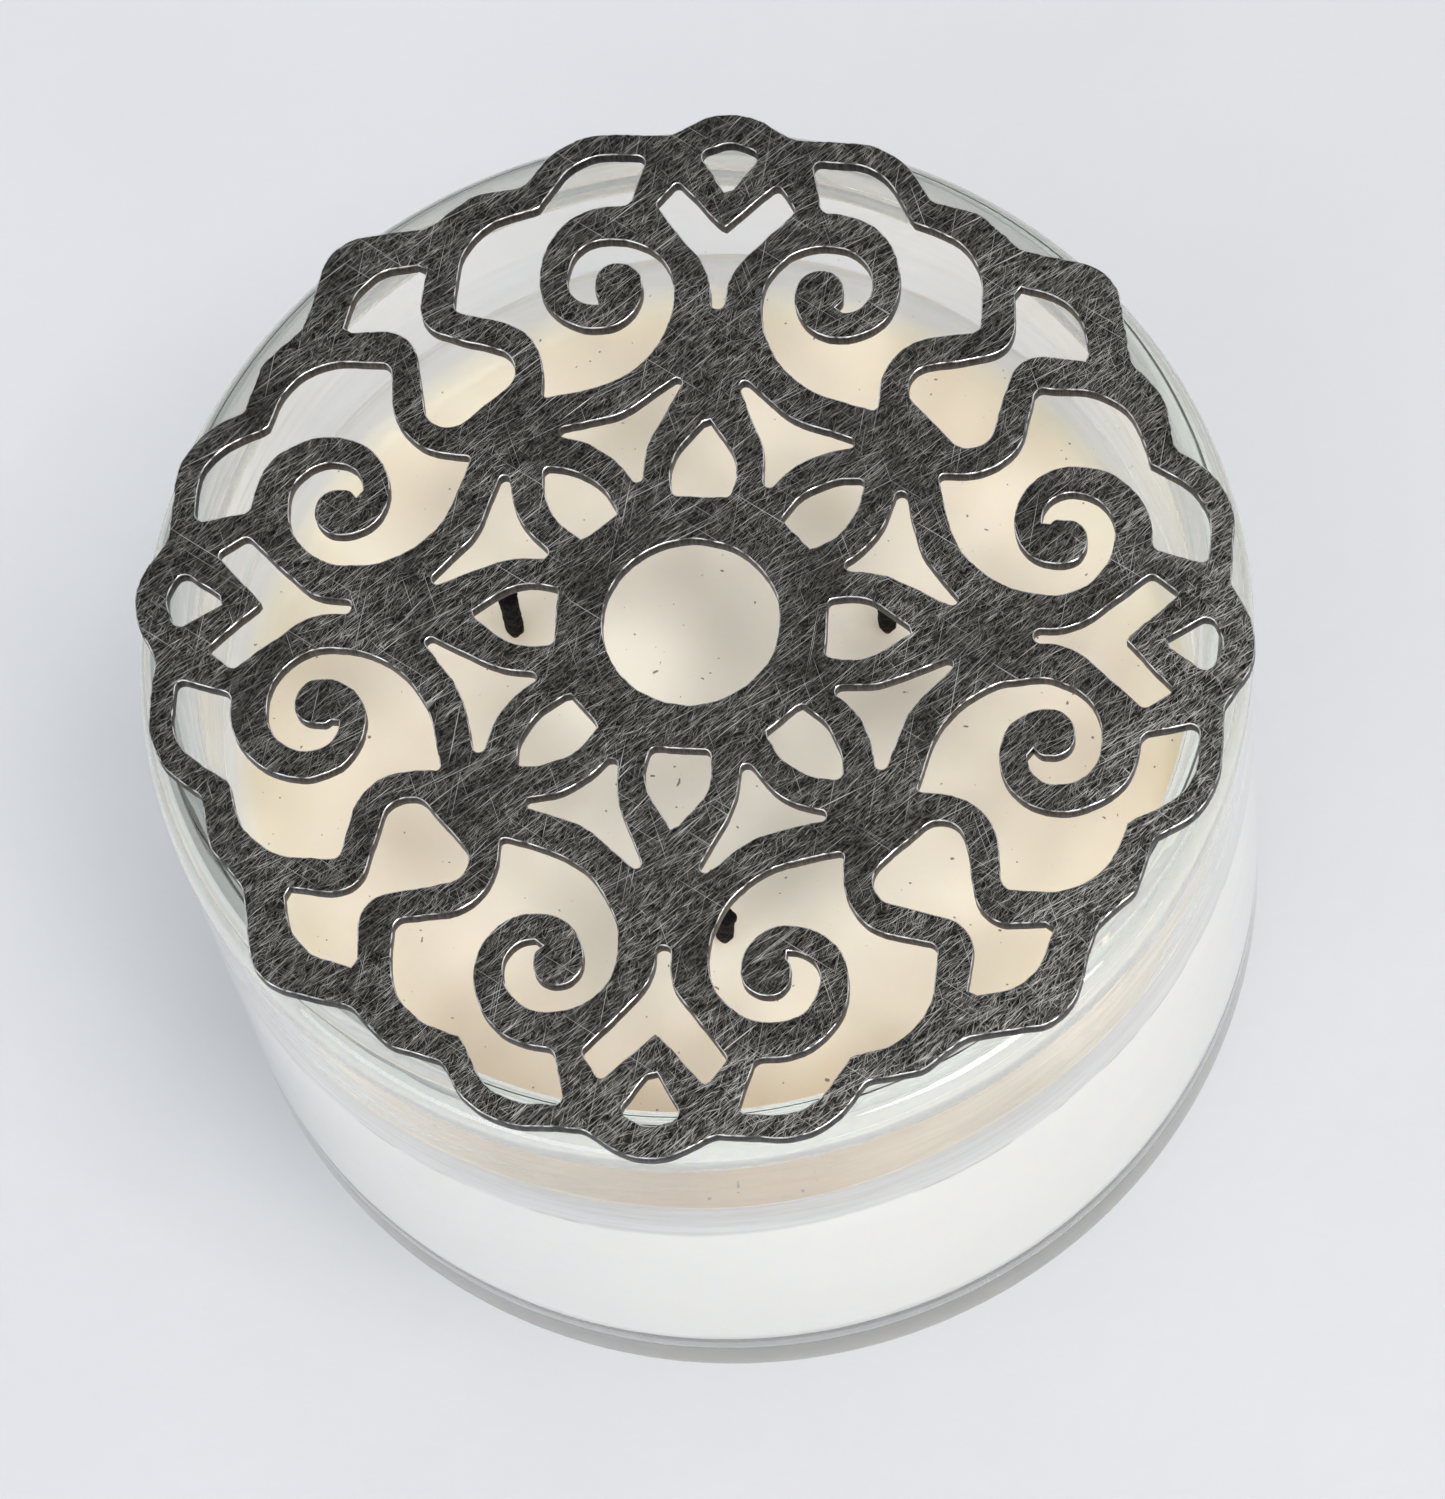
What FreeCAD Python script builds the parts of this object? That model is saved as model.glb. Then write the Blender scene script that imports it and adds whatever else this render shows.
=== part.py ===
import FreeCAD, Part, Sketcher
import math
import os

from FreeCAD import Placement, Rotation, Vector

# A three-wick candle in a straight glass jar, with a pierced steel topper lying loose on the rim.
# Millimetres and degrees. The origin is the centre of the jar's foot, +Z is up, and the topper's
# four main lobes lie along +X, +Y, -X and -Y.

SIZES = {
    # glass jar
    "jar_radius": 50.6,
    "jar_height": 66.0,
    "jar_wall": 5.4,
    "jar_floor": 5.0,
    "rim_round": 2.5,
    "heel_round": 3.0,
    "well_round": 3.0,
    "foot_width": 7.0,
    "foot_recess": 0.8,
    "foot_recess_round": 0.5,
    # wax
    "fill_gap": 25.1,
    "wax_gap": 0.05,
    # wicks and what holds them up
    "wick_radius": 0.75,
    "sticker_radius": 9.0,
    "sticker_thickness": 1.0,
    "tab_radius": 10.0,
    "tab_thickness": 0.3,
    "neck_radius": 1.6,
    "neck_height": 5.0,
    "neck_root_round": 0.6,
    "neck_lip_chamfer": 0.2,
    "wick_clearance": 0.05,
    "cast_clearance": 0.05,
    # topper
    "plate_overhang": 0.2,
    "plate_thickness": 1.6,
    "eye_radius": 8.05,
}

# One row for each wick: its bearing about the jar's axis and its distance from that axis, how much
# stands out of the wax, how far that end curls over, and the bearing that it curls towards.
WICKS = [
    {"bearing": 35.1, "reach": 19.1, "stand": 7.0, "curl": 14.0, "towards": 60.0},
    {"bearing": 155.3, "reach": 21.4, "stand": 7.9, "curl": 10.0, "towards": 100.0},
    {"bearing": 277.4, "reach": 20.7, "stand": 6.3, "curl": 12.0, "towards": 350.0},
]

# The topper's outlines, drawn in hundredths of the plate's radius. Each corner is x, y and the
# radius that rounds it. The plate repeats every 90 degrees and is its own mirror image.
DRAWING_RADIUS = 100.0
QUARTERS = 4

# The rim from a main lobe's tip to the next diagonal lobe: tip, flank, shoulder, notch, step,
# notch and lobe.
RIM_HALF = [
    (99.9, 3.5, 12.0), (95.1, 11.5, 4.0), (95.0, 30.2, 15.0), (83.9, 37.1, 3.0),
    (81.7, 46.5, 6.0), (74.9, 53.9, 4.0), (72.1, 68.1, 9.0),
]

# Windows that straddle a main axis. Each is the half above the axis, from the inner end to the
# outer end; corners on the axis aren't repeated.
PETAL_HALF = [(24.1, 5.2, 1.2), (30.3, 6.9, 10.5), (39.9, 0.0, 0.6)]
FORK_HALF = [(61.0, 1.3, 1.2), (67.9, 1.4, 12.0), (81.0, 12.9, 1.2), (86.2, 9.2, 1.0), (77.0, 0.0, 0.3)]
BUD_HALF = [(83.2, 0.0, 0.8), (92.0, 5.8, 1.8), (94.5, 0.0, 5.0)]

# Windows that straddle a diagonal, drawn along +X and turned by half a quarter.
LEAF_HALF = [(24.8, 4.1, 0.5), (30.8, 5.3, 9.0), (37.2, 3.2, 8.0), (40.8, 0.0, 1.2)]
SPADE_HALF = [(57.1, 13.0, 4.4), (77.2, 0.1, 6.5), (85.6, 10.2, 0.8), (90.1, 3.1, 8.0)]

# Windows that come in left and right hands, one of each to every half of a quarter.
STAR = [
    (35.4, 29.9, 1.05), (33.0, 17.9, 16.0), (24.8, 11.05, 1.1), (34.0, 10.6, 15.0),
    (49.7, 3.3, 1.0), (39.6, 15.2, 14.0),
]
# The scroll window goes round the spiral arm that grows into it: along the petal side and under
# the arm, in along the arm's inner edge, round its ball end, and out over its back.
SCROLL = [
    (42.0, 30.2, 0.9), (47.8, 8.0, 19.0), (74.0, 8.0, 11.1), (74.0, 27.7, 7.6),
    (61.0, 27.7, 5.1), (61.0, 20.3, 0.6), (63.4, 22.5, 1.8), (69.3, 22.5, 3.8),
    (69.3, 13.8, 4.5), (56.1, 13.8, 8.0), (56.1, 32.8, 10.4), (80.7, 32.8, 13.3),
    (80.7, 17.6, 2.1), (90.9, 15.0, 1.4), (90.8, 27.8, 11.0), (79.4, 34.1, 0.8),
    (75.2, 47.6, 13.0), (58.3, 47.7, 2.0), (55.8, 30.9, 11.0),
]

TOLERANCE = 1e-6
VOLUME_TOLERANCE = 1e-2


# ---------------------------------------------------------------- document and sketch helpers

def make_sheet(doc):
    """Write the driving sizes into a spreadsheet, one alias each."""
    sheet = doc.addObject("Spreadsheet::Sheet", "Sizes")
    rows = dict(SIZES)
    for number, wick in enumerate(WICKS, 1):
        for name, value in wick.items():
            rows["wick_%s_%d" % (name, number)] = value
    for row, (name, value) in enumerate(rows.items(), 1):
        sheet.set("A%d" % row, name)
        sheet.set("B%d" % row, str(value))
        sheet.setAlias("B%d" % row, name)
    doc.recompute()
    return sheet


def value(formula):
    """What a formula over the sheet's aliases comes to, for a sketch's first drawing."""
    return float(SHEET.evalExpression(formula))


def new_body(doc, label, height=None):
    """An empty body, raised by an expression if it doesn't stand on the ground."""
    body = doc.addObject("PartDesign::Body", label)
    body.Label = label
    if height:
        body.setExpression("Placement.Base.z", height)
    return body


def origin_plane(body, role):
    return next(part for part in body.Origin.OriginFeatures if part.Role == role)


def new_sketch(body, name, role="XY_Plane", height=None):
    sketch = body.newObject("Sketcher::SketchObject", name)
    sketch.AttachmentSupport = (origin_plane(body, role), "")
    sketch.MapMode = "FlatFace"
    if height:
        sketch.setExpression("AttachmentOffset.Base.z", height)
    return sketch


def add_circle(sketch, radius, centre=None):
    """A circle bound to the sheet: its radius, and its centre unless that is the origin."""
    place = Vector(0, 0, 0)
    if centre:
        bearing = math.radians(getattr(SHEET, centre[1]))
        reach = getattr(SHEET, centre[0])
        place = Vector(reach * math.cos(bearing), reach * math.sin(bearing), 0)
    circle = sketch.addGeometry(Part.Circle(place, Vector(0, 0, 1), value(radius)), False)
    size = sketch.addConstraint(Sketcher.Constraint("Radius", circle, value(radius)))
    sketch.setExpression("Constraints[%d]" % size, radius)
    if not centre:
        sketch.addConstraint(Sketcher.Constraint("Coincident", circle, 3, -1, 1))
        return
    for axis, along, turn in (("DistanceX", place.x, "cos"), ("DistanceY", place.y, "sin")):
        distance = sketch.addConstraint(Sketcher.Constraint(axis, -1, 1, circle, 3, along))
        reach_and_turn = "Sizes.%s * %s(Sizes.%s * 1 deg)" % (centre[0], turn, centre[1])
        sketch.setExpression("Constraints[%d]" % distance, reach_and_turn)


def pad(body, sketch, name, length):
    feature = body.newObject("PartDesign::Pad", name)
    feature.Profile = sketch
    feature.setExpression("Length", length)
    body.Tip = feature
    return feature


def pocket(body, sketch, name, length=None, upwards=False):
    """Cut a sketch into the body, to a depth or right through."""
    feature = body.newObject("PartDesign::Pocket", name)
    feature.Profile = sketch
    feature.Reversed = upwards
    if length:
        feature.setExpression("Length", length)
    else:
        feature.Type = "ThroughAll"
    body.Tip = feature
    return feature


def round_edges(body, name, radius, height, ring, kind="Fillet", size_name="Radius"):
    """Fillet or chamfer the full circles of one radius that lie at one height."""
    body.Document.recompute()
    base = body.Tip
    wanted = []
    for number, edge in enumerate(base.Shape.Edges, 1):
        if not isinstance(edge.Curve, Part.Circle):
            continue
        near_height = abs(edge.Curve.Center.z - height) < TOLERANCE
        if near_height and abs(edge.Curve.Radius - ring) < TOLERANCE:
            wanted.append("Edge%d" % number)
    if not wanted:
        raise RuntimeError("%s finds no edge to work on" % name)
    feature = body.newObject("PartDesign::%s" % kind, name)
    feature.Base = (base, wanted)
    feature.setExpression(size_name, radius)
    body.Tip = feature
    return feature


# ---------------------------------------------------------------- rounded outlines

def turned(corners, degrees):
    cosine = math.cos(math.radians(degrees))
    sine = math.sin(math.radians(degrees))
    return [(x * cosine - y * sine, x * sine + y * cosine, r) for x, y, r in corners]


def swapped(corners):
    """Mirror in the diagonal, and go round the other way so that the order stays the same."""
    return [(y, x, r) for x, y, r in reversed(corners)]


def both_sides(half):
    """Close a window that straddles the X axis; a corner on the axis belongs to both halves."""
    return half + [(x, -y, r) for x, y, r in reversed(half) if abs(y) > TOLERANCE]


def rounded_edges(corners, scale):
    """Lines between rounded corners, with a tangent arc at each corner."""
    points = [Vector(x, y, 0) * scale for x, y, _ in corners]
    count = len(corners)
    starts, ends, arcs = [], [], []
    for index, (_, _, radius) in enumerate(corners):
        here = points[index]
        arriving = (here - points[index - 1]).normalize()
        leaving = (points[(index + 1) % count] - here).normalize()
        turn = math.atan2(arriving.cross(leaving).z, arriving.dot(leaving))
        setback = radius * scale * math.tan(abs(turn) / 2)
        start = here - arriving * setback
        end = here + leaving * setback
        middle = here + (leaving - arriving).normalize() * (
            radius * scale * (1 / math.cos(turn / 2) - 1))
        starts.append(start)
        ends.append(end)
        arcs.append(Part.Arc(start, middle, end))
    edges = []
    for index in range(count):
        edges.append(arcs[index])
        following = starts[(index + 1) % count]
        onward = points[(index + 1) % count] - points[index]
        if (following - ends[index]).dot(onward) < 0:
            raise RuntimeError("the corners at %s and the next are rounded too much" % points[index])
        edges.append(Part.LineSegment(ends[index], following))
    return edges


def add_outline(sketch, corners, scale):
    sketch.addGeometry(rounded_edges(corners, scale), False)


def outline_area(corners, scale):
    edges = [edge.toShape() for edge in rounded_edges(corners, scale)]
    return Part.Face(Part.Wire(edges)).Area


# ---------------------------------------------------------------- the pieces

def make_jar(doc):
    body = new_body(doc, "glass_jar")
    outside = new_sketch(body, "JarOutside")
    add_circle(outside, "Sizes.jar_radius")
    pad(body, outside, "JarBlank", "Sizes.jar_height")
    inside = new_sketch(body, "JarInside", height="Sizes.jar_height")
    add_circle(inside, "Sizes.jar_radius - Sizes.jar_wall")
    pocket(body, inside, "JarWell", "Sizes.jar_height - Sizes.jar_floor")
    hollow = new_sketch(body, "JarFootHollow")
    add_circle(hollow, "Sizes.jar_radius - Sizes.heel_round - Sizes.foot_width")
    pocket(body, hollow, "JarFootRecess", "Sizes.foot_recess", upwards=True)
    outer = SHEET.jar_radius
    inner = outer - SHEET.jar_wall
    recess = outer - SHEET.heel_round - SHEET.foot_width
    round_edges(body, "JarRimOutside", "Sizes.rim_round", SHEET.jar_height, outer)
    round_edges(body, "JarRimInside", "Sizes.rim_round", SHEET.jar_height, inner)
    round_edges(body, "JarHeel", "Sizes.heel_round", 0.0, outer)
    round_edges(body, "JarWellCorner", "Sizes.well_round", SHEET.jar_floor, inner)
    round_edges(body, "JarFootRecessCorner", "Sizes.foot_recess_round", SHEET.foot_recess, recess)
    return body


def make_wax(doc):
    """The wax is cast round the wicks, so it is hollow where they and their tabs are."""
    body = new_body(doc, "wax_fill", "Sizes.jar_floor")
    outside = new_sketch(body, "WaxOutside")
    add_circle(outside, "Sizes.jar_radius - Sizes.jar_wall - Sizes.wax_gap")
    pad(body, outside, "WaxBlank", "Sizes.jar_height - Sizes.fill_gap - Sizes.jar_floor")
    ring = SHEET.jar_radius - SHEET.jar_wall - SHEET.wax_gap
    round_edges(body, "WaxCorner", "Sizes.well_round", 0.0, ring)
    hollows = [
        ("Tab", "Sizes.tab_radius + Sizes.cast_clearance",
         "Sizes.sticker_thickness + Sizes.tab_thickness + Sizes.cast_clearance"),
        ("Neck", "Sizes.neck_radius + Sizes.neck_root_round + Sizes.cast_clearance",
         "Sizes.sticker_thickness + Sizes.tab_thickness + Sizes.neck_height + Sizes.cast_clearance"),
        ("Wick", "Sizes.wick_radius + Sizes.cast_clearance", None),
    ]
    for name, radius, depth in hollows:
        sketch = new_sketch(body, "Wax%sCircles" % name)
        for number in range(1, len(WICKS) + 1):
            centre = ("wick_reach_%d" % number, "wick_bearing_%d" % number)
            add_circle(sketch, radius, centre)
        pocket(body, sketch, "Wax%sHollows" % name, depth, upwards=True)
    return body


def stand_at_wick(body, number, height):
    """Put a body on the axis of one wick, turned to the bearing that the wick curls towards."""
    reach = "Sizes.wick_reach_%d" % number
    bearing = "(Sizes.wick_bearing_%d * 1 deg)" % number
    body.Placement = Placement(Vector(0, 0, 0), Rotation(Vector(0, 0, 1), 1.0))
    body.setExpression("Placement.Base.x", "%s * cos%s" % (reach, bearing))
    body.setExpression("Placement.Base.y", "%s * sin%s" % (reach, bearing))
    body.setExpression("Placement.Base.z", height)
    body.setExpression("Placement.Rotation.Angle", "Sizes.wick_towards_%d * 1 deg" % number)


def make_sticker(doc, number):
    body = new_body(doc, "wick_sticker_%d" % number)
    outside = new_sketch(body, "Sticker%dOutside" % number)
    add_circle(outside, "Sizes.sticker_radius")
    pad(body, outside, "Sticker%dPad" % number, "Sizes.sticker_thickness")
    stand_at_wick(body, number, "Sizes.jar_floor")
    return body


def make_sustainer(doc, number):
    """A stamped tab with a drawn neck that grips the wick."""
    body = new_body(doc, "wick_sustainer_%d" % number)
    tab = new_sketch(body, "Tab%dOutside" % number)
    add_circle(tab, "Sizes.tab_radius")
    pad(body, tab, "Tab%dDisc" % number, "Sizes.tab_thickness")
    neck = new_sketch(body, "Neck%dOutside" % number)
    add_circle(neck, "Sizes.neck_radius")
    pad(body, neck, "Neck%dTube" % number, "Sizes.tab_thickness + Sizes.neck_height")
    bore = new_sketch(body, "Neck%dInside" % number)
    add_circle(bore, "Sizes.wick_radius + Sizes.wick_clearance")
    pocket(body, bore, "Neck%dBore" % number, upwards=True)
    top = SHEET.tab_thickness + SHEET.neck_height
    round_edges(body, "Neck%dRoot" % number, "Sizes.neck_root_round", SHEET.tab_thickness,
                SHEET.neck_radius)
    round_edges(body, "Neck%dLip" % number, "Sizes.neck_lip_chamfer", top, SHEET.neck_radius,
                kind="Chamfer", size_name="Size")
    stand_at_wick(body, number, "Sizes.jar_floor + Sizes.sticker_thickness")
    return body


def make_wick(doc, number):
    """A wick that runs straight up through the wax and curls over where it stands free."""
    body = new_body(doc, "wick_%d" % number)
    embedded = "Sizes.jar_height - Sizes.fill_gap - Sizes.jar_floor - Sizes.sticker_thickness"
    stand = getattr(SHEET, "wick_stand_%d" % number)
    curl = math.radians(getattr(SHEET, "wick_curl_%d" % number))
    bend = stand / curl
    surface = value(embedded)

    path = new_sketch(body, "Wick%dPath" % number, "XZ_Plane")
    rise = path.addGeometry(Part.LineSegment(Vector(0, 0, 0), Vector(0, surface, 0)), False)
    circle = Part.Circle(Vector(bend, surface, 0), Vector(0, 0, 1), bend)
    arc = path.addGeometry(Part.ArcOfCircle(circle, math.pi - curl, math.pi), False)
    path.addConstraint(Sketcher.Constraint("Coincident", rise, 1, -1, 1))
    path.addConstraint(Sketcher.Constraint("Vertical", rise))
    path.addConstraint(Sketcher.Constraint("Tangent", rise, 2, arc, 2))
    length = path.addConstraint(Sketcher.Constraint("DistanceY", rise, 1, rise, 2, surface))
    path.setExpression("Constraints[%d]" % length, embedded)
    radius = path.addConstraint(Sketcher.Constraint("Radius", arc, bend))
    arc_radius = "Sizes.wick_stand_%d / (Sizes.wick_curl_%d * pi / 180)" % (number, number)
    path.setExpression("Constraints[%d]" % radius, arc_radius)
    sweep = path.addConstraint(Sketcher.Constraint("Angle", arc, curl))
    path.setExpression("Constraints[%d]" % sweep, "Sizes.wick_curl_%d * 1 deg" % number)

    section = new_sketch(body, "Wick%dSection" % number)
    add_circle(section, "Sizes.wick_radius")
    pipe = body.newObject("PartDesign::AdditivePipe", "Wick%dPipe" % number)
    pipe.Profile = section
    pipe.Spine = path
    body.Tip = pipe
    stand_at_wick(body, number, "Sizes.jar_floor + Sizes.sticker_thickness")
    return body


def topper_windows():
    """One quarter's windows by name, each a list of closed outlines."""
    half_quarter = 180.0 / QUARTERS
    return {
        "Petal": [both_sides(PETAL_HALF)],
        "Fork": [both_sides(FORK_HALF)],
        "Bud": [both_sides(BUD_HALF)],
        "Leaf": [turned(both_sides(LEAF_HALF), half_quarter)],
        "Spade": [turned(both_sides(SPADE_HALF), half_quarter)],
        "Star": [STAR, swapped(STAR)],
        "Scroll": [SCROLL, swapped(SCROLL)],
    }


def check_cut(body, name, outlines, scale, before):
    """A pocket can fail without an error, so compare what it removed with its outlines."""
    body.Document.recompute()
    area = sum(outline_area(corners, scale) for corners in outlines)
    expected = before - area * QUARTERS * SHEET.plate_thickness
    if abs(body.Shape.Volume - expected) > VOLUME_TOLERANCE:
        raise RuntimeError("the %s windows cut the wrong volume" % name)


def make_topper(doc):
    """A flat plate cut through with scrollwork, resting on the rim of the jar."""
    body = new_body(doc, "topper_plate", "Sizes.jar_height")
    scale = (SHEET.jar_radius + SHEET.plate_overhang) / DRAWING_RADIUS
    rim = []
    for quarter in range(QUARTERS):
        rim += turned(RIM_HALF + swapped(RIM_HALF), quarter * 360.0 / QUARTERS)
    outside = new_sketch(body, "TopperOutside")
    add_outline(outside, rim, scale)
    pad(body, outside, "TopperBlank", "Sizes.plate_thickness")
    eye = new_sketch(body, "TopperEye")
    add_circle(eye, "Sizes.eye_radius")
    pocket(body, eye, "TopperEyeHole", upwards=True)
    doc.recompute()
    for name, outlines in topper_windows().items():
        before = body.Shape.Volume
        sketch = new_sketch(body, "Topper%sOutline" % name)
        for corners in outlines:
            add_outline(sketch, corners, scale)
        window = pocket(body, sketch, "Topper%sWindow" % name, upwards=True)
        pattern = body.newObject("PartDesign::PolarPattern", "Topper%sPattern" % name)
        pattern.Originals = [window]
        pattern.Axis = (origin_plane(body, "Z_Axis"), [""])
        pattern.Angle = 360.0
        pattern.Occurrences = QUARTERS
        body.Tip = pattern
        check_cut(body, name, outlines, scale, before)
    return body


# ---------------------------------------------------------------- build, check and write

def check_and_write(doc, bodies):
    for thing in doc.Objects:
        bad = [state for state in thing.State if state in ("Invalid", "Error")]
        if bad:
            raise RuntimeError("%s failed: %s" % (thing.Name, thing.State))
    for body in bodies:
        if body.Shape.isNull() or not body.Shape.isValid():
            raise RuntimeError("%s has no valid shape" % body.Label)
        if len(body.Shape.Solids) != 1:
            raise RuntimeError("%s is %d solids" % (body.Label, len(body.Shape.Solids)))
    os.makedirs("parts", exist_ok=True)
    for body in bodies:
        body.Shape.exportStep("parts/%s.step" % body.Label)
        box = body.Shape.BoundBox
        print("%-18s volume %9.1f  z %.2f to %.2f" % (body.Label, body.Shape.Volume, box.ZMin, box.ZMax))


DOC = FreeCAD.newDocument("three_wick_candle")
SHEET = make_sheet(DOC)
PIECES = [make_jar(DOC), make_wax(DOC)]
for WICK_NUMBER in range(1, len(WICKS) + 1):
    PIECES.append(make_sticker(DOC, WICK_NUMBER))
    PIECES.append(make_sustainer(DOC, WICK_NUMBER))
    PIECES.append(make_wick(DOC, WICK_NUMBER))
PIECES.append(make_topper(DOC))
DOC.recompute()
check_and_write(DOC, PIECES)
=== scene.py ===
"""A wide glass jar of wax with three wicks, and a pierced steel plate lying loose on its rim."""
import math

import bpy
from mathutils import Matrix, Vector, noise


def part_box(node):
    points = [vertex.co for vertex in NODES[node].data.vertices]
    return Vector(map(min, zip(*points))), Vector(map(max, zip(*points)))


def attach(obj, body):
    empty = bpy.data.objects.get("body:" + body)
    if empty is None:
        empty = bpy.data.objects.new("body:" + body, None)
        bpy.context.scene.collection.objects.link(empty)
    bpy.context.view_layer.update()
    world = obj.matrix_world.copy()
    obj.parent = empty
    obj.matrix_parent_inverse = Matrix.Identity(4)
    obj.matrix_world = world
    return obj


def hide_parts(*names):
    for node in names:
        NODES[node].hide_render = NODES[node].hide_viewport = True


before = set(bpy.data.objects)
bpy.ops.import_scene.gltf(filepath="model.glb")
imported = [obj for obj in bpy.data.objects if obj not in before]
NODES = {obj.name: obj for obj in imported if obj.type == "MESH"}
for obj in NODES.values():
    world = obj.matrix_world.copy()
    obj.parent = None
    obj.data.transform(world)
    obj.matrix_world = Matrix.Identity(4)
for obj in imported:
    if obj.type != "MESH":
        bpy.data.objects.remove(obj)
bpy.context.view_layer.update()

MM = 0.001
NOISE_SEED = 1
WICKS = (1, 2, 3)

# What the frame's boxes don't say about the jar: the radii that round it, and its foot.
RIM_ROUND = 2.5 * MM
HEEL_ROUND = 3.0 * MM
WELL_ROUND = 3.0 * MM
FOOT_WIDTH = 7.0 * MM
FOOT_RECESS = 0.8 * MM
FOOT_EDGE_ROUND = 0.3 * MM
WAX_GAP = 0.05 * MM
WAX_BITE = 0.05 * MM
WAX_FILLET = 2.5 * MM
FILM_CLIMB = 7.6 * MM

JAR_LOW, JAR_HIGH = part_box("glass_jar")
WAX_LOW, WAX_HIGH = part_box("wax_fill")
PLATE_LOW, PLATE_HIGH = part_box("topper_plate")
JAR_RADIUS = (JAR_HIGH.x - JAR_LOW.x) / 2
JAR_HEIGHT = JAR_HIGH.z
WELL_RADIUS = (WAX_HIGH.x - WAX_LOW.x) / 2 + WAX_GAP
WELL_FLOOR = WAX_LOW.z
WAX_LEVEL = WAX_HIGH.z
TURNS = 288


# ---------------------------------------------------------------- mesh helpers

def link(name, mesh, *materials):
    piece = bpy.data.objects.new(name, mesh)
    bpy.context.scene.collection.objects.link(piece)
    for material in materials:
        piece.data.materials.append(material)
    return piece


def arc(centre_r, centre_z, radius, start, end, steps):
    """Points along an arc of a profile, from one bearing to another in degrees."""
    points = []
    for step in range(steps + 1):
        turn = math.radians(start + (end - start) * step / steps)
        points.append((centre_r + radius * math.cos(turn), centre_z + radius * math.sin(turn)))
    return points


def lathe(name, profile, segments=TURNS, shape=None):
    """Spin a profile that starts and ends on the axis. shape(point) may move each vertex."""
    rings = profile[1:-1]
    first = Vector((0, 0, profile[0][1]))
    last = Vector((0, 0, profile[-1][1]))
    vertices = [first, last]
    for radius, height in rings:
        for segment in range(segments):
            turn = 2 * math.pi * segment / segments
            vertices.append(Vector((radius * math.cos(turn), radius * math.sin(turn), height)))
    if shape:
        vertices = [shape(vertex) for vertex in vertices]

    def vertex_at(ring, segment):
        return 2 + ring * segments + segment % segments

    faces = []
    for segment in range(segments):
        faces.append((0, vertex_at(0, segment + 1), vertex_at(0, segment)))
        for ring in range(len(rings) - 1):
            faces.append((
                vertex_at(ring, segment), vertex_at(ring, segment + 1),
                vertex_at(ring + 1, segment + 1), vertex_at(ring + 1, segment),
            ))
        end = len(rings) - 1
        faces.append((1, vertex_at(end, segment), vertex_at(end, segment + 1)))
    mesh = bpy.data.meshes.new(name)
    mesh.from_pydata(vertices, [], faces)
    mesh.shade_smooth()
    mesh.update()
    return mesh


# ---------------------------------------------------------------- material helpers

class Nodes:
    """A material's node tree with short calls for the nodes that every material here uses."""

    def __init__(self, name):
        self.material = bpy.data.materials.new(name)
        self.material.use_nodes = True
        self.tree = self.material.node_tree
        self.shader = self.tree.nodes["Principled BSDF"]
        self.output = self.tree.nodes["Material Output"]
        self.position = self.add("ShaderNodeTexCoord").outputs["Object"]

    def add(self, kind, **settings):
        node = self.tree.nodes.new(kind)
        for name, setting in settings.items():
            setattr(node, name, setting)
        return node

    def feed(self, socket, source):
        """Link a socket, or set it to a plain value."""
        if isinstance(source, bpy.types.NodeSocket):
            self.tree.links.new(source, socket)
        else:
            socket.default_value = source

    def set(self, **values):
        """Set or link the shader's own sockets, named with underscores."""
        for name, source in values.items():
            self.feed(self.shader.inputs[name.replace("_", " ")], source)

    def math(self, operation, first, second=0.0, third=None, clamp=False):
        node = self.add("ShaderNodeMath", operation=operation, use_clamp=clamp)
        self.feed(node.inputs[0], first)
        self.feed(node.inputs[1], second)
        if third is not None:
            self.feed(node.inputs[2], third)
        return node.outputs[0]

    def mapped(self, turn=0.0, scale=(1, 1, 1), shift=(0, 0, 0), vector=None):
        node = self.add("ShaderNodeMapping", vector_type="TEXTURE")
        self.feed(node.inputs["Vector"], vector or self.position)
        node.inputs["Location"].default_value = shift
        node.inputs["Rotation"].default_value = (0, 0, math.radians(turn))
        node.inputs["Scale"].default_value = scale
        return node.outputs[0]

    def noise(self, scale, detail=2.0, roughness=0.5, vector=None):
        node = self.add("ShaderNodeTexNoise")
        self.feed(node.inputs["Vector"], vector or self.position)
        node.inputs["Scale"].default_value = scale
        node.inputs["Detail"].default_value = detail
        node.inputs["Roughness"].default_value = roughness
        return node.outputs["Fac"]

    def ramp(self, factor, low, high, bottom=0.0, top=1.0, smooth=False):
        """Stretch a factor from low..high to bottom..top, clamped."""
        node = self.add("ShaderNodeMapRange")
        node.interpolation_type = "SMOOTHSTEP" if smooth else "LINEAR"
        self.feed(node.inputs["Value"], factor)
        for name, number in (("From Min", low), ("From Max", high), ("To Min", bottom), ("To Max", top)):
            self.feed(node.inputs[name], number)
        return node.outputs["Result"]

    def mix(self, factor, first, second, blend="MIX"):
        node = self.add("ShaderNodeMix", data_type="RGBA", blend_type=blend)
        self.feed(node.inputs["Factor"], factor)
        for socket, source in ((node.inputs[6], first), (node.inputs[7], second)):
            if isinstance(source, tuple):
                source = (*source, 1.0)
            self.feed(socket, source)
        return node.outputs[2]

    def height(self):
        node = self.add("ShaderNodeSeparateXYZ")
        self.feed(node.inputs[0], self.position)
        return node.outputs

    def bump(self, height, distance, strength=1.0):
        node = self.add("ShaderNodeBump")
        node.inputs["Distance"].default_value = distance
        node.inputs["Strength"].default_value = strength
        self.feed(node.inputs["Height"], height)
        self.set(Normal=node.outputs[0])


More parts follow.
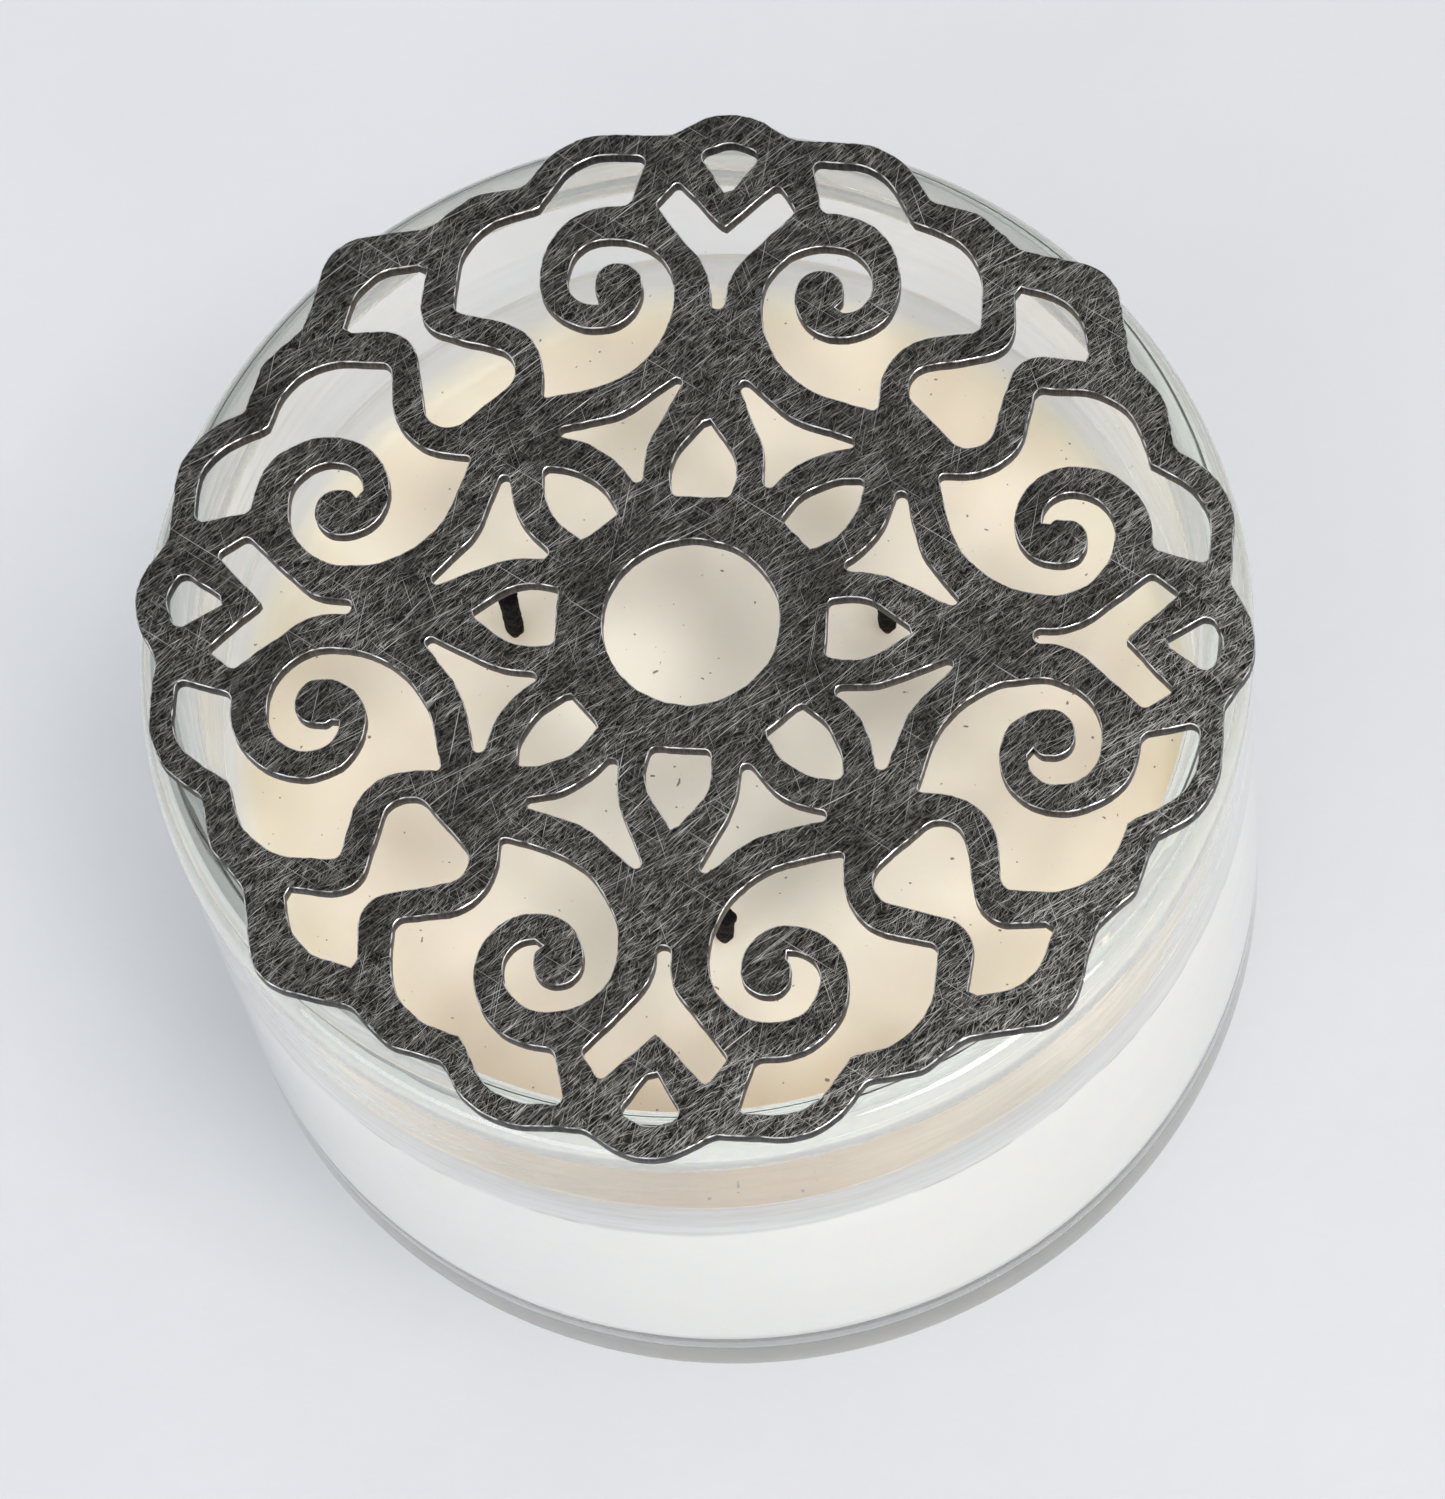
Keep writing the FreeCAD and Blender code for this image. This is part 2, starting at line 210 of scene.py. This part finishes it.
# ---------------------------------------------------------------- materials

def glass_material():
    """Clear pressed glass: a faint olive tint in its depth, and a slightly uneven skin."""
    glass = Nodes("clear_glass")
    glass.set(
        Base_Color=(0.99, 0.995, 0.99, 1), Transmission_Weight=1.0, Roughness=0.02, IOR=1.5,
    )
    place = glass.height()
    ripple = glass.noise(1.0, 2.0, vector=glass.mapped(0, (16 * MM, 16 * MM, 5 * MM)))
    waves = glass.noise(190.0, 1.0)
    near_rim = glass.ramp(place["Z"], JAR_HEIGHT - 2.0 * RIM_ROUND, JAR_HEIGHT - RIM_ROUND, 0.0, 0.30)
    glass.bump(glass.math("MULTIPLY_ADD", waves, near_rim, ripple), 0.10 * MM, 0.7)
    depth = glass.add("ShaderNodeVolumeAbsorption")
    depth.inputs["Color"].default_value = (0.70, 0.77, 0.62, 1)
    depth.inputs["Density"].default_value = 6.0
    glass.feed(glass.output.inputs["Volume"], depth.outputs[0])
    lamps_pass = glass.add("ShaderNodeMixShader")
    clear = glass.add("ShaderNodeBsdfTransparent")
    clear.inputs["Color"].default_value = (0.97, 0.985, 0.97, 1)
    glass.feed(lamps_pass.inputs[0], glass.add("ShaderNodeLightPath").outputs["Is Shadow Ray"])
    glass.feed(lamps_pass.inputs[1], glass.shader.outputs[0])
    glass.feed(lamps_pass.inputs[2], clear.outputs[0])
    glass.feed(glass.output.inputs["Surface"], lamps_pass.outputs[0])
    return glass.material


def wax_material():
    """Cream wax: tanned on top where it has been molten, white down its sides and up the wall."""
    wax = Nodes("cream_wax")
    place = wax.height()
    reach = wax.math("SQRT", wax.math(
        "ADD", wax.math("MULTIPLY", place["X"], place["X"]), wax.math("MULTIPLY", place["Y"], place["Y"])))
    cloud = wax.noise(34.0, 3.0)
    top = wax.mix(wax.ramp(cloud, 0.32, 0.70), (0.93, 0.845, 0.72), (0.91, 0.80, 0.65))
    # The top turns darker and browner towards its front edge by the wall.
    front = wax.ramp(wax.math("MULTIPLY_ADD", place["X"], -0.5, place["Y"]), 0.000, -0.042)
    rim = wax.ramp(reach, 0.024, WELL_RADIUS - WAX_FILLET, smooth=True)
    front_edge_brown = wax.math("MULTIPLY", rim, wax.math("MULTIPLY", front, wax.ramp(cloud, 0.34, 0.60, 0.25, 1.0)))
    top = wax.mix(wax.math("MULTIPLY", front, 0.45), top, (0.77, 0.71, 0.58))
    top = wax.mix(wax.math("MULTIPLY", front_edge_brown, 0.85), top, (0.63, 0.50, 0.34))
    middle = wax.ramp(reach, 0.030, 0.010, smooth=True)
    top = wax.mix(wax.math("MULTIPLY", middle, 0.8), top, (0.78, 0.73, 0.64))
    specks = wax.ramp(wax.noise(1900.0, 0.0), 0.83, 0.86)
    top = wax.mix(wax.math("MULTIPLY", specks, 0.85), top, (0.16, 0.11, 0.08))
    white = wax.mix(wax.noise(60.0, 2.0), (0.86, 0.84, 0.83), (0.81, 0.79, 0.78))
    climbing = wax.ramp(place["Z"], WAX_LEVEL + 0.8 * MM, WAX_LEVEL + 3.5 * MM, smooth=True)
    inside = wax.mix(climbing, top, white)
    wander = wax.ramp(wax.noise(45.0, 3.0), 0.3, 0.7, -0.7 * MM, 0.7 * MM)
    level = wax.math("SUBTRACT", wax.math("ADD", place["Z"], wander), WAX_LEVEL - 0.6 * MM)
    streak = wax.noise(1.0, 3.0, vector=wax.mapped(0, (12 * MM, 12 * MM, 1.2 * MM)))
    film = wax.mix(wax.ramp(streak, 0.35, 0.65), (0.58, 0.57, 0.57), (0.72, 0.71, 0.71))
    outside = wax.mix(wax.ramp(level, -0.3 * MM, 0.3 * MM), white, film)
    line = wax.math("MULTIPLY", wax.ramp(level, -0.45 * MM, 0.0), wax.ramp(level, 0.45 * MM, 0.0))
    line = wax.math("MULTIPLY", line, wax.ramp(wax.noise(230.0, 2.0), 0.48, 0.60))
    outside = wax.mix(wax.math("MULTIPLY", line, 0.7), outside, (0.36, 0.34, 0.30))
    skin = wax.ramp(reach, WELL_RADIUS - 0.25 * MM, WELL_RADIUS - 0.12 * MM)
    colour = wax.mix(skin, inside, outside)
    under = wax.ramp(place["Z"], WAX_LEVEL - 1.5 * MM, WAX_LEVEL - 2.5 * MM)
    colour = wax.mix(under, colour, white)
    lip = wax.ramp(place["Z"], WAX_LEVEL + FILM_CLIMB - 0.9 * MM, WAX_LEVEL + FILM_CLIMB - 0.3 * MM)
    colour = wax.mix(wax.math("MULTIPLY", lip, 0.7), colour, (0.62, 0.50, 0.36))
    wax.set(
        Base_Color=colour, Roughness=wax.ramp(cloud, 0.3, 0.7, 0.34, 0.5),
        Subsurface_Weight=0.8, Subsurface_Radius=(0.009, 0.008, 0.006), Subsurface_Scale=1.0,
    )
    wax.shader.inputs["Specular IOR Level"].default_value = 0.35
    wax.bump(wax.math("MULTIPLY_ADD", wax.noise(160.0, 3.0), 0.4, cloud), 0.25 * MM, 0.5)
    return wax.material


def wick_material():
    """Cotton burnt black, with grey ash in its weave and brown where it meets the wax."""
    wick = Nodes("charred_wick")
    place = wick.height()
    ash = wick.ramp(wick.noise(2600.0, 3.0), 0.52, 0.78)
    char = wick.mix(ash, (0.004, 0.003, 0.003), (0.022, 0.019, 0.017))
    foot = wick.ramp(place["Z"], WAX_LEVEL + 0.9 * MM, WAX_LEVEL + 0.3 * MM)
    colour = wick.mix(wick.math("MULTIPLY", foot, 0.8), char, (0.16, 0.075, 0.03))
    wick.set(Base_Color=colour, Roughness=0.75)
    wick.shader.inputs["Specular IOR Level"].default_value = 0.12
    wick.bump(wick.noise(3800.0, 3.0), 0.12 * MM)
    return wick.material


def streaks(steel, turn, length, width, low, high, shift):
    """Straight scratches: noise stretched along one bearing, kept only where it peaks."""
    vector = steel.mapped(turn, (length, width, width * 6), shift)
    return steel.ramp(steel.noise(1.0, 1.0, vector=vector), low, high)


def steel_face_material():
    """Dark mill steel sanded by hand: a dense haze of short strokes and a few long scratches, the strokes
    brightened near the rim on the side towards the right windows as a painted sheen.
    """
    steel = Nodes("sanded_steel")
    fine = (
        (44, 2.1, 0.065, 0.645, 0.74, 1.0), (54, 1.7, 0.060, 0.65, 0.74, 1.0),
        (33, 2.6, 0.065, 0.655, 0.75, 0.9), (65, 1.8, 0.060, 0.665, 0.76, 0.9),
        (79, 1.5, 0.060, 0.66, 0.75, 0.8), (20, 2.0, 0.065, 0.66, 0.75, 0.8),
        (100, 1.4, 0.060, 0.68, 0.77, 0.7), (138, 1.6, 0.065, 0.68, 0.77, 0.7),
    )
    total = 0.0
    for order, (turn, length, width, low, high, weight) in enumerate(fine):
        layer = streaks(steel, turn, length * MM, width * MM, low, high, (0.013 * order, 0.029 * order, 0))
        total = steel.math("MULTIPLY_ADD", layer, weight, total)
    bold = (
        (43, 9, 0.075, 0.69, 0.75), (52, 7, 0.070, 0.69, 0.75), (31, 12, 0.075, 0.70, 0.76),
        (84, 12, 0.075, 0.72, 0.78), (112, 10, 0.070, 0.73, 0.79), (150, 14, 0.075, 0.73, 0.79),
    )
    deep = 0.0
    for order, (turn, length, width, low, high) in enumerate(bold):
        layer = streaks(steel, turn, length * MM, width * MM, low, high, (0.31 * order, 0.17 * order, 0))
        deep = steel.math("MAXIMUM", deep, layer)
    place = steel.height()
    reach = steel.math("SQRT", steel.math(
        "ADD", steel.math("MULTIPLY", place["X"], place["X"]), steel.math("MULTIPLY", place["Y"], place["Y"])))
    # Painted sheen: on the side towards the right windows, the scratches near the rim are brightened to stand in
    # for the lamps glinting off them.
    side = steel.math("SUBTRACT", steel.math("MULTIPLY", place["X"], 0.8), steel.math("MULTIPLY", place["Y"], 0.6))
    painted_window_sheen = steel.math("MULTIPLY", steel.ramp(reach, 0.036, 0.047, smooth=True), steel.ramp(side, 0.0, 0.035))
    patches_and_sheen = steel.ramp(steel.noise(130.0, 3.0), 0.32, 0.68, 0.30, 1.10)
    patches_and_sheen = steel.math("MULTIPLY_ADD", painted_window_sheen, 0.9, patches_and_sheen)
    mottle = steel.ramp(steel.noise(3200.0, 2.0), 0.40, 0.68)
    dark = steel.mix(mottle, (0.006, 0.006, 0.005), (0.036, 0.034, 0.030))
    scratches_and_sheen = steel.math("MULTIPLY", total, steel.math("MULTIPLY", patches_and_sheen, 0.85), clamp=True)
    colour = steel.mix(scratches_and_sheen, dark, (0.40, 0.39, 0.36))
    colour = steel.mix(steel.math("MULTIPLY", deep, 0.85), colour, (0.60, 0.59, 0.57))
    steel.set(
        Base_Color=colour, Metallic=1.0, Roughness=steel.ramp(scratches_and_sheen, 0.0, 1.0, 0.52, 0.36),
    )
    relief = steel.math("MULTIPLY_ADD", deep, -1.5, steel.math("MULTIPLY", total, -0.5))
    steel.bump(relief, 0.03 * MM, 0.6)
    return steel.material


def steel_lip_material():
    """The rubbed corner of the cut, bright bare steel broken by nicks."""
    steel = Nodes("bright_cut_edge")
    nick = steel.ramp(steel.noise(950.0, 3.0), 0.40, 0.62)
    colour = steel.mix(nick, (0.08, 0.076, 0.074), (0.72, 0.71, 0.70))
    steel.set(Base_Color=colour, Metallic=1.0, Roughness=steel.ramp(nick, 0, 1, 0.42, 0.22))
    steel.bump(steel.noise(1700.0, 2.0), 0.04 * MM)
    return steel.material


def steel_wall_material():
    """The cut itself, with the ripples that a cutting flame leaves down its face."""
    steel = Nodes("cut_wall")
    ripple = steel.noise(1.0, 2.0, vector=steel.mapped(0, (0.22 * MM, 0.22 * MM, 3.0 * MM)))
    colour = steel.mix(steel.ramp(ripple, 0.40, 0.72), (0.014, 0.013, 0.014), (0.085, 0.075, 0.082))
    steel.set(Base_Color=colour, Metallic=1.0, Roughness=0.40)
    steel.bump(ripple, 0.05 * MM, 0.7)
    return steel.material


def tinplate_material():
    tin = Nodes("tinplate")
    grain = tin.noise(1.0, 2.0, vector=tin.mapped(20, (6 * MM, 0.08 * MM, 0.08 * MM)))
    colour = tin.mix(grain, (0.46, 0.46, 0.46), (0.70, 0.70, 0.69))
    tin.set(Base_Color=colour, Metallic=1.0, Roughness=tin.ramp(grain, 0.3, 0.7, 0.24, 0.42))
    tin.bump(grain, 0.02 * MM)
    return tin.material


def foam_material():
    foam = Nodes("adhesive_foam")
    cells = foam.add("ShaderNodeTexVoronoi")
    foam.feed(cells.inputs["Vector"], foam.position)
    cells.inputs["Scale"].default_value = 3200.0
    colour = foam.mix(cells.outputs["Distance"], (0.72, 0.71, 0.68), (0.90, 0.89, 0.86))
    foam.set(Base_Color=colour, Roughness=0.8)
    foam.bump(cells.outputs["Distance"], 0.08 * MM)
    return foam.material


def table_material():
    """A plain pale table top with a faint moulded unevenness, glowing faintly as a painted fill light that lifts
    the shade under and around the jar.
    """
    table = Nodes("glowing_table")
    cloud = table.noise(26.0, 4.0)
    colour = table.mix(cloud, (0.34, 0.345, 0.36), (0.38, 0.385, 0.40))
    # Painted fill light: the table's own glow gives most of its pale look and brightens the shade beside and under
    # the jar.
    table.set(Base_Color=colour, Roughness=0.6, Emission_Color=(0.95, 0.965, 1.0, 1), Emission_Strength=0.18)
    table.bump(table.noise(320.0, 3.0), 0.20 * MM, 0.5)
    return table.material


# ---------------------------------------------------------------- the jar and the wax

def jar_profile():
    """Half the jar's section, from the middle of its underside round to the middle of its well."""
    foot_inner = JAR_RADIUS - HEEL_ROUND - FOOT_WIDTH
    points = [(0.0, FOOT_RECESS), (foot_inner - FOOT_RECESS, FOOT_RECESS)]
    points += arc(foot_inner + FOOT_EDGE_ROUND, FOOT_EDGE_ROUND, FOOT_EDGE_ROUND, 180, 270, 5)
    points += arc(JAR_RADIUS - HEEL_ROUND, HEEL_ROUND, HEEL_ROUND, -90, 0, 18)
    points += arc(JAR_RADIUS - RIM_ROUND, JAR_HEIGHT - RIM_ROUND, RIM_ROUND, 0, 90, 14)
    points += arc(WELL_RADIUS + RIM_ROUND, JAR_HEIGHT - RIM_ROUND, RIM_ROUND, 90, 180, 14)
    points += arc(WELL_RADIUS - WELL_ROUND, WELL_FLOOR + WELL_ROUND, WELL_ROUND, 0, -90, 14)
    points.append((0.0, WELL_FLOOR))
    return with_holds(points)


def with_holds(points, hold=0.15 * MM, long=1.0 * MM):
    """Points added just inside both ends of each long run, so that its flat shading stays flat."""
    held = [points[0]]
    for start, end in zip(points, points[1:]):
        run = math.dist(start, end)
        if run > long:
            for share in (hold / run, 1 - hold / run):
                held.append((start[0] + (end[0] - start[0]) * share, start[1] + (end[1] - start[1]) * share))
        held.append(end)
    return held


def make_jar():
    jar = link("jar_glass_body", lathe("jar_glass_body", jar_profile()), glass_material())
    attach(jar, "jar")
    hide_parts("glass_jar")


def wick_foot(number):
    """Where a wick stands on the wax: its tab is centred on it."""
    low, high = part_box("wick_sustainer_%d" % number)
    return Vector(((low.x + high.x) / 2, (low.y + high.y) / 2, WAX_LEVEL))


def wax_surface(feet):
    """A function that shapes the set wax: it climbs the wicks, and neither level nor edge is even."""
    collar, collar_reach = 0.5 * MM, 1.3 * MM
    swell, swell_scale = 0.22 * MM, 55.0
    ragged, ragged_scale = 0.16, 38.0
    hair = 1e-7

    def shape(point):
        if point.z < WAX_LEVEL - hair:
            return point
        rise = swell * noise.noise(Vector((point.x, point.y, 0)) * swell_scale)
        for foot in feet:
            away = math.hypot(point.x - foot.x, point.y - foot.y)
            rise += collar * math.exp(-away / collar_reach)
        climbed = point.z - WAX_LEVEL
        edge = ragged * noise.noise(Vector((point.x, point.y, 0)) * ragged_scale)
        return Vector((point.x, point.y, WAX_LEVEL + rise + climbed * (1 + edge)))

    return shape


def make_wax():
    """The fill's flat top curves up into the film that the wax left on the wall as it burned down."""
    radius = WELL_RADIUS + WAX_BITE
    floor = WELL_FLOOR - WAX_BITE
    film = 0.45 * MM
    lip = 0.12 * MM
    rings = 80
    film_inner = radius - film
    flat = film_inner - WAX_FILLET
    top = WAX_LEVEL + FILM_CLIMB
    profile = [(0.0, WAX_LEVEL)]
    profile += [(flat * step / rings, WAX_LEVEL) for step in range(1, rings)]
    profile += arc(flat, WAX_LEVEL + WAX_FILLET, WAX_FILLET, -90, 0, 12)
    profile += [(film_inner + (film - lip) * rise, WAX_LEVEL + WAX_FILLET + (top - WAX_LEVEL - WAX_FILLET) * rise)
                for rise in (0.25, 0.5, 0.75, 0.95)]
    profile += arc(radius - lip / 2, top - lip / 2, lip / 2, 135, 0, 4)
    profile += [(radius, WAX_LEVEL + climb * MM) for climb in (5.0, 2.5, 0.3)]
    profile += [(radius, WAX_LEVEL - drop * MM) for drop in (0.3, 6.0, 14.0)]
    profile += arc(radius - WELL_ROUND, floor + WELL_ROUND, WELL_ROUND, 0, -90, 14)
    profile.append((0.0, floor))
    profile.reverse()
    mesh = lathe("wax_body", profile, shape=wax_surface([wick_foot(n) for n in WICKS]))
    wax = link("wax_body", mesh, wax_material())
    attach(wax, "jar")
    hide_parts("wax_fill")


# ---------------------------------------------------------------- the wicks

def wick_line(number):
    """The wick's middle line: straight up through the wax, then over to where its end leans."""
    low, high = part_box("wick_%d" % number)
    foot = wick_foot(number)
    radius = 0.75 * MM
    tip = Vector((
        high.x - radius if high.x - foot.x > foot.x - low.x else low.x + radius,
        high.y - radius if high.y - foot.y > foot.y - low.y else low.y + radius,
        high.z,
    ))
    stand = high.z - WAX_LEVEL
    points = [Vector((foot.x, foot.y, low.z)), Vector((foot.x, foot.y, WAX_LEVEL - 2 * MM))]
    steps = 70
    for step in range(steps + 1):
        share = step / steps
        lean = share * share
        points.append(Vector((
            foot.x + (tip.x - foot.x) * lean, foot.y + (tip.y - foot.y) * lean, WAX_LEVEL + stand * share,
        )))
    return points, radius


def wick_mesh(name, number):
    """A braided tube: two families of strands that cross, frayed and swollen by the fire at its tip."""
    line, radius = wick_line(number)
    around = 40
    strands, pitch = 4, 1.9 * MM
    vertices, faces = [], []
    travelled = 0.0
    for index, here in enumerate(line):
        if index:
            travelled += (here - line[index - 1]).length
        ahead = (line[min(index + 1, len(line) - 1)] - line[max(index - 1, 0)]).normalized()
        side = ahead.orthogonal().normalized()
        other = ahead.cross(side)
        share = max(0.0, (here.z - WAX_LEVEL) / (line[-1].z - WAX_LEVEL))
        swell = 1.0 + 0.22 * min(1.0, 6 * share) + 0.12 * math.exp(-((share - 0.85) / 0.12) ** 2)
        close = math.sqrt(max(0.0, 1.0 - max(0.0, (share - 0.93) / 0.07) ** 2))
        for step in range(around):
            turn = 2 * math.pi * step / around
            twist = 2 * math.pi * travelled / pitch
            weave = max(math.cos(strands * turn + twist), math.cos(strands * turn - twist))
            place = here + (side * math.cos(turn) + other * math.sin(turn)) * radius
            burn = 0.16 * share * noise.noise(place * 1100.0 + Vector((number * 7.3, 0, 0)))
            size = radius * (0.90 + 0.09 * weave + burn) * swell * max(close, 0.02)
            vertices.append(here + (side * math.cos(turn) + other * math.sin(turn)) * size)
    for ring in range(len(line) - 1):
        for step in range(around):
            following = (step + 1) % around
            faces.append((
                ring * around + step, ring * around + following,
                (ring + 1) * around + following, (ring + 1) * around + step,
            ))
    faces.append(tuple(reversed(range(around))))
    faces.append(tuple((len(line) - 1) * around + step for step in range(around)))
    mesh = bpy.data.meshes.new(name)
    mesh.from_pydata(vertices, [], faces)
    mesh.shade_smooth()
    mesh.update()
    return mesh


def make_wicks():
    material = wick_material()
    for number in WICKS:
        name = "braided_wick_%d" % number
        wick = link(name, wick_mesh(name, number), material)
        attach(wick, "jar")
        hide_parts("wick_%d" % number)


def dress_hidden_parts():
    """The tabs and their adhesive discs stay as built, inside the wax."""
    for prefix, material in (("wick_sustainer", tinplate_material()), ("wick_sticker", foam_material())):
        for number in WICKS:
            mesh = NODES["%s_%d" % (prefix, number)].data
            mesh.materials.clear()
            mesh.materials.append(material)


# ---------------------------------------------------------------- the topper

def outline_loops(mesh):
    """The closed outlines of a flat plate's upper face, read from the frame's mesh."""
    top = max(vertex.co.z for vertex in mesh.vertices)
    grain = 1e-6

    def key(vertex):
        return (round(vertex.co.x / grain), round(vertex.co.y / grain))

    seen = {}
    for face in mesh.polygons:
        if face.normal.z < 0.9 or abs(face.center.z - top) > 0.1 * MM:
            continue
        corners = [mesh.vertices[index] for index in face.vertices]
        for first, second in zip(corners, corners[1:] + corners[:1]):
            ends = (key(first), key(second))
            if (ends[1], ends[0]) in seen:
                del seen[(ends[1], ends[0])]
            else:
                seen[ends] = True
    following = dict(seen.keys())
    loops = []
    while following:
        start, here = following.popitem()
        loop = [start]
        while here != start:
            loop.append(here)
            here = following.pop(here)
        loops.append([Vector((x * grain, y * grain)) for x, y in loop])
    return loops


def hand_cut(loop, spacing=0.35 * MM, crowd=0.06 * MM):
    """The same outline as a torch follows it: evenly dense, and wandering a little."""
    wander, wander_scale = 0.11 * MM, 420.0
    tremble, tremble_scale = 0.035 * MM, 1500.0
    points = []
    for index, start in enumerate(loop):
        end = loop[(index + 1) % len(loop)]
        length = (end - start).length
        pieces = max(1, round(length / spacing))
        if length < crowd:
            continue
        points += [start.lerp(end, step / pieces) for step in range(pieces)]
    limit = PLATE_HIGH.x
    cut = []
    for point in points:
        shift = Vector((0, 0, 0))
        for size, scale in ((wander, wander_scale), (tremble, tremble_scale)):
            shift += noise.noise_vector(Vector((point.x, point.y, 0)) * scale) * size
        moved = point + shift.xy
        cut.append(Vector((
            max(-limit, min(limit, moved.x)), max(-limit, min(limit, moved.y)),
        )))
    return cut


def plate_mesh(name):
    """Fill the outlines as a flat curve with a rounded edge, and keep the mesh that it gives."""
    lip = 0.10 * MM
    thickness = PLATE_HIGH.z - PLATE_LOW.z
    curve = bpy.data.curves.new(name, "CURVE")
    curve.dimensions = "2D"
    curve.fill_mode = "BOTH"
    curve.bevel_depth = lip
    curve.bevel_resolution = 2
    curve.offset = -lip
    curve.extrude = thickness / 2 - lip
    for loop in outline_loops(NODES["topper_plate"].data):
        spline = curve.splines.new("POLY")
        cut = hand_cut(loop)
        spline.points.add(len(cut) - 1)
        for point, place in zip(spline.points, cut):
            point.co = (place.x, place.y, 0, 1)
        spline.use_cyclic_u = True
    drawing = bpy.data.objects.new(name + "_drawing", curve)
    bpy.context.scene.collection.objects.link(drawing)
    mesh = bpy.data.meshes.new_from_object(
        drawing.evaluated_get(bpy.context.evaluated_depsgraph_get()))
    bpy.data.objects.remove(drawing)
    mesh.transform(Matrix.Translation((0, 0, (PLATE_HIGH.z + PLATE_LOW.z) / 2)))
    return mesh


def make_topper():
    flat, steep = 0.97, 0.25
    mesh = plate_mesh("steel_scrollwork")
    mesh.materials.clear()
    topper = link(
        "steel_scrollwork", mesh, steel_face_material(), steel_lip_material(), steel_wall_material())
    for face in mesh.polygons:
        rise = abs(face.normal.z)
        face.material_index = 0 if rise > flat else 1 if rise > steep else 2
    mesh.shade_smooth()
    mesh.set_sharp_from_angle(angle=math.radians(35))
    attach(topper, "topper")
    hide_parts("topper_plate")


# ---------------------------------------------------------------- camera, floor and light

def direction(azimuth, elevation):
    """A unit vector towards a bearing: azimuth 0 is towards -Y and 90 towards +X."""
    a, e = math.radians(azimuth), math.radians(elevation)
    return Vector((math.sin(a) * math.cos(e), -math.cos(a) * math.cos(e), math.sin(e)))


def make_camera():
    aim = Vector((0.0038, -0.0122, PLATE_HIGH.z))
    distance, azimuth, elevation, roll = 0.6152, 15.52, 68.43, -11.96
    data = bpy.data.cameras.new("camera")
    data.sensor_width = 36.0
    data.lens = 165.4
    camera = bpy.data.objects.new("camera", data)
    towards = direction(azimuth, elevation)
    camera.location = aim + towards * distance
    turn = (-towards).to_track_quat("-Z", "Y").to_matrix() @ Matrix.Rotation(math.radians(roll), 3, "Z")
    camera.rotation_euler = turn.to_euler()
    bpy.context.scene.collection.objects.link(camera)
    bpy.context.scene.camera = camera


def make_floor():
    size = 2.0
    mesh = bpy.data.meshes.new("floor")
    gap = 0.05 * MM
    corners = [(-size, -size, -gap), (size, -size, -gap), (size, size, -gap), (-size, size, -gap)]
    mesh.from_pydata(corners, [], [(0, 1, 2, 3)])
    link("floor", mesh, table_material())


def add_lamp(name, azimuth, elevation, distance, width, height, power, colour):
    data = bpy.data.lights.new(name, "AREA")
    data.shape = "RECTANGLE"
    data.size = width
    data.size_y = height
    data.energy = power
    data.color = colour
    lamp = bpy.data.objects.new(name, data)
    towards = direction(azimuth, elevation)
    lamp.location = towards * distance + Vector((0, 0, JAR_HEIGHT))
    lamp.rotation_euler = (-towards).to_track_quat("-Z", "Y").to_euler()
    bpy.context.scene.collection.objects.link(lamp)


def light_the_room():
    world = bpy.data.worlds.new("room")
    world.use_nodes = True
    tree = world.node_tree
    background = tree.nodes["Background"]
    background.inputs["Color"].default_value = (0.94, 0.965, 1.0, 1)
    height = tree.nodes.new("ShaderNodeSeparateXYZ")
    tree.links.new(tree.nodes.new("ShaderNodeTexCoord").outputs["Generated"], height.inputs[0])
    brighter_up = tree.nodes.new("ShaderNodeMapRange")
    tree.links.new(height.outputs["Z"], brighter_up.inputs["Value"])
    for name, number in (("From Min", 0.05), ("From Max", 0.75), ("To Min", 0.62), ("To Max", 1.12)):
        brighter_up.inputs[name].default_value = number
    tree.links.new(brighter_up.outputs["Result"], background.inputs["Strength"])
    bpy.context.scene.world = world
    add_lamp("overhead", 62, 68, 1.3, 0.40, 0.40, 11.5, (1.0, 0.97, 0.93))
    add_lamp("right_windows", 48, 18, 1.3, 1.40, 0.05, 0.7, (1.0, 0.98, 0.95))
    add_lamp("left_windows", -35, 24, 1.3, 1.10, 0.40, 4.2, (0.90, 0.95, 1.0))
    bpy.context.scene.view_settings.view_transform = "Standard"


# Without a seed, Blender offsets its vector noise by the clock.
noise.seed_set(NOISE_SEED)
make_camera()
make_floor()
light_the_room()
make_jar()
make_wax()
make_wicks()
dress_hidden_parts()
make_topper()
